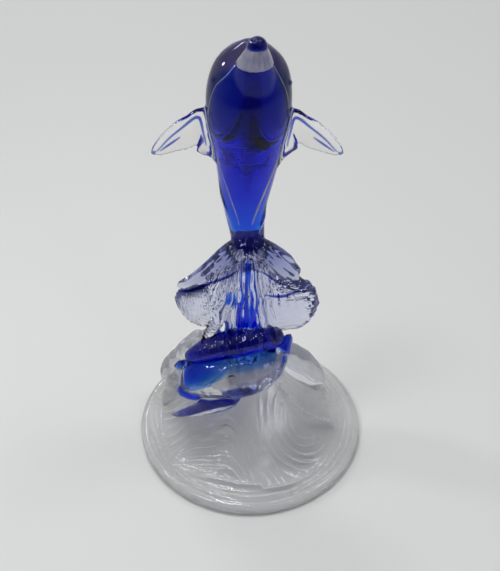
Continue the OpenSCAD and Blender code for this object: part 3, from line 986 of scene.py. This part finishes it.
def painted_belly_reflection():
    """Painted reflection: a dark lens put inside the calf's clear belly, standing in for the dark that the
    belly's glass reflects and refracts.
    """
    mid = within("calf_casing", (0.573, 0.168, 0.363))
    around = 40
    angles = np.linspace(0, 2 * math.pi, around, endpoint=False)
    rings = []
    for share in np.linspace(-0.98, 0.98, 22):
        girth = math.sqrt(1 - share * share)
        rings.append(np.column_stack([
            np.full(around, mid[0] + 6.2 * MM * share),
            mid[1] + (0.5 * girth * np.cos(angles) + 1.1 * share ** 2) * MM,
            mid[2] + (2.2 * girth * np.sin(angles) + 0.7 * share) * MM]))
    shade = loft("calf_belly_painted_reflection", rings)
    return push(shade, lambda p, n: 0.12 * MM * waves(p, 15, 1.6 * MM))


def swell(name, node):
    """A smooth swell of clear glass, faintly uneven."""
    obj = fused(name, [copy_of(node, name + "_melt", 0.2 * MM)], COARSE_VOXEL, 16)
    return push(obj, lambda p, n: 0.10 * MM * waves(p, 23, 5 * MM))


def core(name, node, passes, shrink=0.0, voxel=COARSE_VOXEL):
    """A CAD node with its facets melted away, drawn in by shrink."""
    return fused(name, [copy_of(node, name + "_melt", -shrink)], voxel, passes)


# ---- Assembly ----

make_camera()
make_floor()
make_world()
make_light("key_softbox", (-15, -9, 34), (9, 9), 15)
make_light("fill_softbox", (17, 5, 32), (9, 9), 10)
make_light("top_softbox", (-4, 3, 36), (4, 4), 22)
make_light("back_strip", (-5, 13, 14), (6, 1.5), 3)
make_light("strip_light", (2.6, -3.4, 4.6), (0.4, 2.4), 0.10)
make_light("sparkle_lamp", (-2.2, 0.6, 3.4), (0.3, 0.3), 0.12)

finish_piece(foot(), SATIN, "satin_glass", "base_disc", "wave_mound", "wave_curl", "wave_swell_left")
finish_piece(swell("wave_swell_right_glass", "wave_swell_right"), SWELL, "satin_glass",
             "wave_swell_right")
finish_piece(crest("wave_crest_left_glass", "wave_crest_left", 1.2 * MM, 21), FROST, "satin_glass",
             "wave_crest_left")
finish_piece(crest("wave_crest_back_glass", "wave_crest_back", 1.4 * MM, 22), FROST, "satin_glass",
             "wave_crest_back")
finish_piece(dolphin_skin(), CLEAR, "clear_glass", "body_casing", "beak", "flipper_left",
             "flipper_right", "dorsal_fin")
finish_piece(core("tail_flukes_glass", "tail_flukes", 6, 0.25 * MM), SMOKE, "clear_glass", "tail_flukes")
finish_piece(flipper_lines(-1, "flipper_left"), THREAD, "navy_glass")
finish_piece(flipper_lines(1, "flipper_right"), THREAD, "navy_glass")
# Painted highlights along the front folds.
finish_piece(painted_fold_highlights(), PAINTED_HIGHLIGHT, "satin_glass")
finish_piece(stock_rays(), POOL, "navy_glass")
finish_piece(body_loft("body_core_glass", "body_core", 140, 96), COBALT, "blue_glass", "body_core")
finish_piece(crown_core(), VIOLET, "clear_glass")
finish_piece(throat_strand(), NAVY, "navy_glass")
finish_piece(beak_joint(), MILK, "satin_glass")
finish_piece(dome(), DOME, "navy_glass", "beak_tip")
finish_piece(spout_skin(), SPOUT, "clear_glass", "spout_column", "spray_left", "spray_right")
finish_piece(spout_stripe(), BRIGHT, "blue_glass", "spout_core")
finish_piece(gather(), NAVY, "navy_glass", "spout_gather")
finish_piece(fluke_lines(), THREAD, "blue_glass")
finish_piece(calf_skin(), CLEAR, "clear_glass", "calf_casing")
finish_piece(calf_core(), PALE, "blue_glass", "calf_core")
# Painted reflection: the dark lens inside the calf's belly, in the dense cobalt thread colour.
finish_piece(painted_belly_reflection(), THREAD, "navy_glass")
finish_piece(wedge("calf_beak_glass", 0.8, 1.4), DOME, "navy_glass", "calf_beak")
for bit in ("calf_flipper", "calf_dorsal_fin", "calf_flukes"):
    finish_piece(core(bit + "_glass", bit, 4), FIN, "blue_glass", bit)
for eye in ("eye_left", "eye_right"):
    finish_piece(core(eye + "_bead", eye, 2, 0, 0.15 * MM), BEAD, "navy_glass", eye)

bpy.context.scene.view_settings.view_transform = "Standard"
